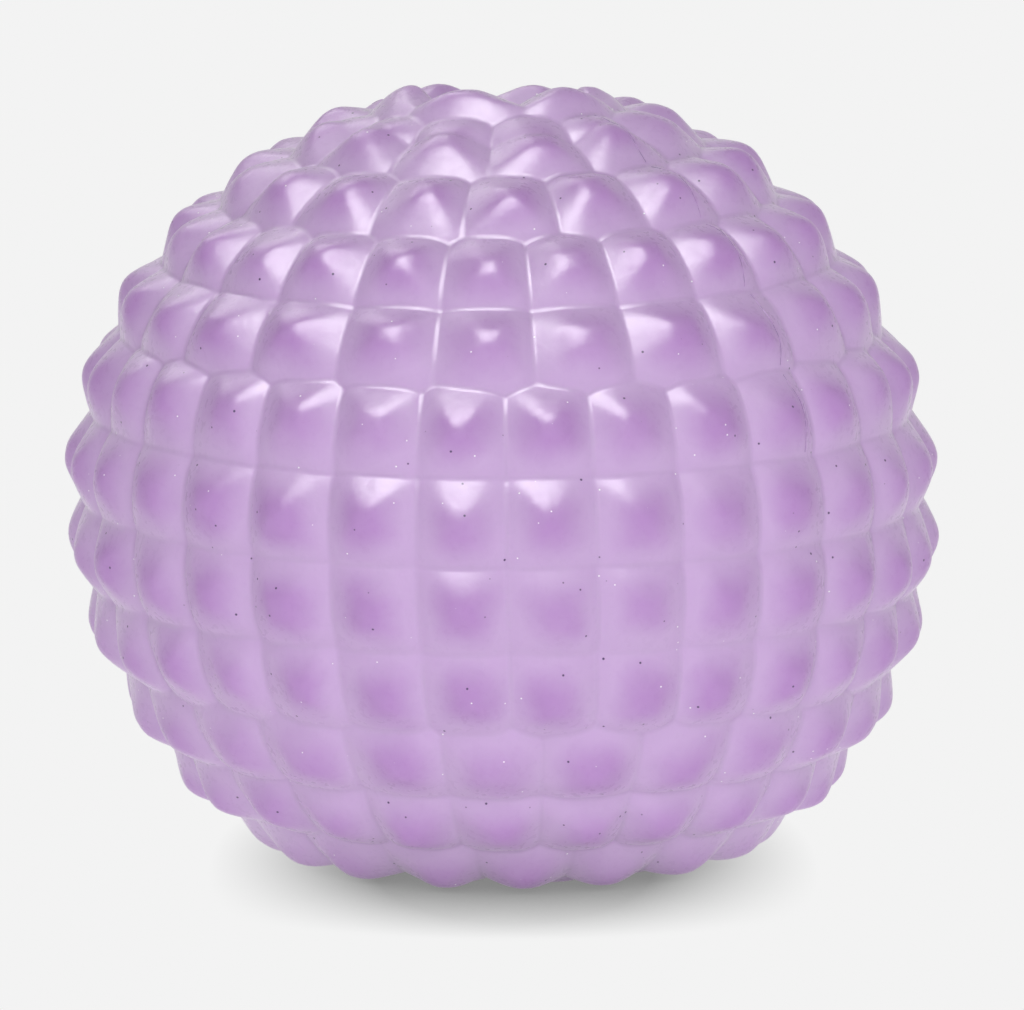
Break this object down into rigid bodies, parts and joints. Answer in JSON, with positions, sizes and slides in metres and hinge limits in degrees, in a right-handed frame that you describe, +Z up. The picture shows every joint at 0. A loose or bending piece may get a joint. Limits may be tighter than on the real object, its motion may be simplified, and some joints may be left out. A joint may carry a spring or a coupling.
{
  "type": "massage ball",
  "caption": "Hollow air-filled massage ball covered all over in rings of blunt four-sided nubs, with a pull-out valve plug in its crown.",
  "frame": {"origin": "centre of the flat base that the ball rests on", "axes": "+Z up along the axis of the nub rings, through the valve; -Y is the side seen in the picture; +X to its right; every ring has a nub centred 42 degrees from -Y towards +X"},
  "size_m": [0.0748, 0.0744, 0.0651],
  "materials": {
    "soft_lilac_skin": "satin soft thermoplastic rubber, lilac, slightly translucent",
    "valve_rubber": "matte pale lilac rubber",
    "plug_plastic": "satin off-white plastic"
  },
  "bodies": {
    "ball": {"moulded_skin": "soft_lilac_skin", "valve_sleeve": "valve_rubber"},
    "plug": {"valve_plug": "plug_plastic"}
  },
  "joints": [
    {"name": "plug_pull", "type": "slide", "parent": "ball", "child": "plug", "axis": [0, 0, 1], "range_m": [0, 0.012]}
  ]
}
